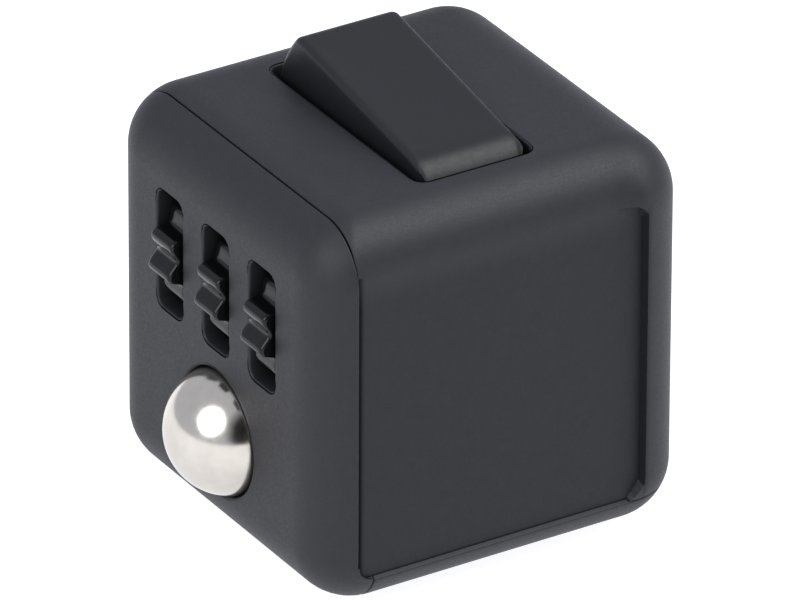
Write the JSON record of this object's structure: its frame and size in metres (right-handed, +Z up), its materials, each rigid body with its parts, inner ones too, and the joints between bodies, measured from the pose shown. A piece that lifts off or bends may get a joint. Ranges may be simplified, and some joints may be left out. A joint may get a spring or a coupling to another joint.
{
  "type": "fidget cube",
  "caption": "Rounded palm-size cube with a rocker, thumb wheels over a rolling ball, a flat thumb rest, push buttons, a joystick and a spin dial, one control to a face.",
  "frame": {"origin": "centre of the flat underside of the spin dial, which the cube stands on", "axes": "+Z up through the rocker's face, +X out of the thumb rest's face, -Y out of the thumb wheel and ball face"},
  "size_m": [0.0367, 0.0385, 0.0377],
  "materials": {
    "shell_plastic": "spark-eroded matte moulding, charcoal grey",
    "rocker_plastic": "fine matte moulding, black-grey",
    "wheel_plastic": "satin black moulding",
    "button_plastic": "satin black-grey moulding",
    "cap_rubber": "moulded black rubber",
    "inner_plastic": "natural grey moulding",
    "ball_chrome": "polished bearing steel",
    "zinc_steel": "zinc-plated steel"
  },
  "bodies": {
    "housing": {"main_shell": "shell_plastic", "gear_side_cover": "shell_plastic", "base_cover": "shell_plastic", "rocker_pin_1": "zinc_steel", "rocker_pin_2": "zinc_steel", "rocker_cradle": "inner_plastic", "cradle_screw_1": "zinc_steel", "cradle_screw_2": "zinc_steel", "cradle_screw_3": "zinc_steel", "cradle_screw_4": "zinc_steel", "wheel_shaft": "zinc_steel", "ball_spring": "zinc_steel", "ball_guide": "inner_plastic", "guide_screw_1": "zinc_steel", "guide_screw_2": "zinc_steel", "snap_dome_1": "zinc_steel", "snap_dome_2": "zinc_steel", "snap_dome_3": "zinc_steel", "snap_dome_4": "zinc_steel", "snap_dome_5": "zinc_steel", "button_plate": "inner_plastic", "plate_screw_1": "zinc_steel", "plate_screw_2": "zinc_steel", "plate_screw_3": "zinc_steel", "plate_screw_4": "zinc_steel", "joystick_frame": "inner_plastic", "joystick_spring": "zinc_steel", "frame_screw_1": "zinc_steel", "frame_screw_2": "zinc_steel", "frame_screw_3": "zinc_steel", "frame_screw_4": "zinc_steel", "wave_washer": "zinc_steel"},
    "rocker": {"rocker": "rocker_plastic", "rocker_plunger": "inner_plastic", "rocker_spring": "zinc_steel"},
    "wheel_1": {"thumb_wheel_1": "wheel_plastic"},
    "wheel_2": {"thumb_wheel_2": "wheel_plastic"},
    "wheel_3": {"thumb_wheel_3": "wheel_plastic"},
    "ball_carriage": {"ball_cup": "inner_plastic"},
    "ball": {"steel_ball": "ball_chrome"},
    "button_1": {"button_1": "button_plastic"},
    "button_2": {"button_2": "button_plastic"},
    "button_3": {"button_3": "button_plastic"},
    "button_4": {"button_4": "button_plastic"},
    "button_5": {"button_5": "button_plastic"},
    "gimbal": {"gimbal_ring": "inner_plastic"},
    "stick": {"joystick_stick": "button_plastic", "joystick_cap": "cap_rubber"},
    "dial": {"spin_dial": "button_plastic", "dial_washer": "zinc_steel", "dial_screw": "zinc_steel"}
  },
  "joints": [
    {"name": "rocker_flip", "type": "hinge", "parent": "housing", "child": "rocker", "pos_m": [0.0001, 0, 0.03], "axis": [0, -1, 0], "range_deg": [0, 20.3]},
    {"name": "wheel_1_roll", "type": "hinge", "parent": "housing", "child": "wheel_1", "pos_m": [-0.00665, -0.01345, 0.0226], "axis": [1, 0, 0], "continuous": true},
    {"name": "wheel_2_roll", "type": "hinge", "parent": "housing", "child": "wheel_2", "pos_m": [0.0001, -0.01345, 0.0226], "axis": [1, 0, 0], "continuous": true},
    {"name": "wheel_3_roll", "type": "hinge", "parent": "housing", "child": "wheel_3", "pos_m": [0.00685, -0.01345, 0.0226], "axis": [1, 0, 0], "continuous": true},
    {"name": "ball_press", "type": "slide", "parent": "housing", "child": "ball_carriage", "axis": [0, 1, 0], "range_m": [0, 0.0008], "stiffness_N_per_m": 400, "springref_m": -0.0006, "deforming": ["ball_spring"]},
    {"name": "ball_roll", "type": "hinge", "parent": "ball_carriage", "child": "ball", "pos_m": [0.0002, -0.0152, 0.0107], "axis": [1, 0, 0], "continuous": true},
    {"name": "button_1_press", "type": "slide", "parent": "housing", "child": "button_1", "axis": [0, -1, 0], "range_m": [0, 0.0009], "stiffness_N_per_m": 300, "springref_m": -0.0005, "deforming": ["snap_dome_1"]},
    {"name": "button_2_press", "type": "slide", "parent": "housing", "child": "button_2", "axis": [0, -1, 0], "range_m": [0, 0.0009], "stiffness_N_per_m": 300, "springref_m": -0.0005, "deforming": ["snap_dome_2"]},
    {"name": "button_3_press", "type": "slide", "parent": "housing", "child": "button_3", "axis": [0, -1, 0], "range_m": [0, 0.0009], "stiffness_N_per_m": 300, "springref_m": -0.0005, "deforming": ["snap_dome_3"]},
    {"name": "button_4_press", "type": "slide", "parent": "housing", "child": "button_4", "axis": [0, -1, 0], "range_m": [0, 0.0009], "stiffness_N_per_m": 300, "springref_m": -0.0005, "deforming": ["snap_dome_4"]},
    {"name": "button_5_press", "type": "slide", "parent": "housing", "child": "button_5", "axis": [0, -1, 0], "range_m": [0, 0.0009], "stiffness_N_per_m": 300, "springref_m": -0.0005, "deforming": ["snap_dome_5"]},
    {"name": "gimbal_tilt", "type": "hinge", "parent": "housing", "child": "gimbal", "pos_m": [-0.0105, 0, 0.0175], "axis": [0, 1, 0], "range_deg": [-15, 15], "stiffness_Nm_per_rad": 0.01, "deforming": ["joystick_spring"]},
    {"name": "stick_tilt", "type": "hinge", "parent": "gimbal", "child": "stick", "pos_m": [-0.0105, 0, 0.0175], "axis": [0, 0, 1], "range_deg": [-15, 15], "stiffness_Nm_per_rad": 0.01, "deforming": ["joystick_spring"]},
    {"name": "dial_spin", "type": "hinge", "parent": "housing", "child": "dial", "pos_m": [0, 0, 0], "axis": [0, 0, 1], "continuous": true}
  ]
}
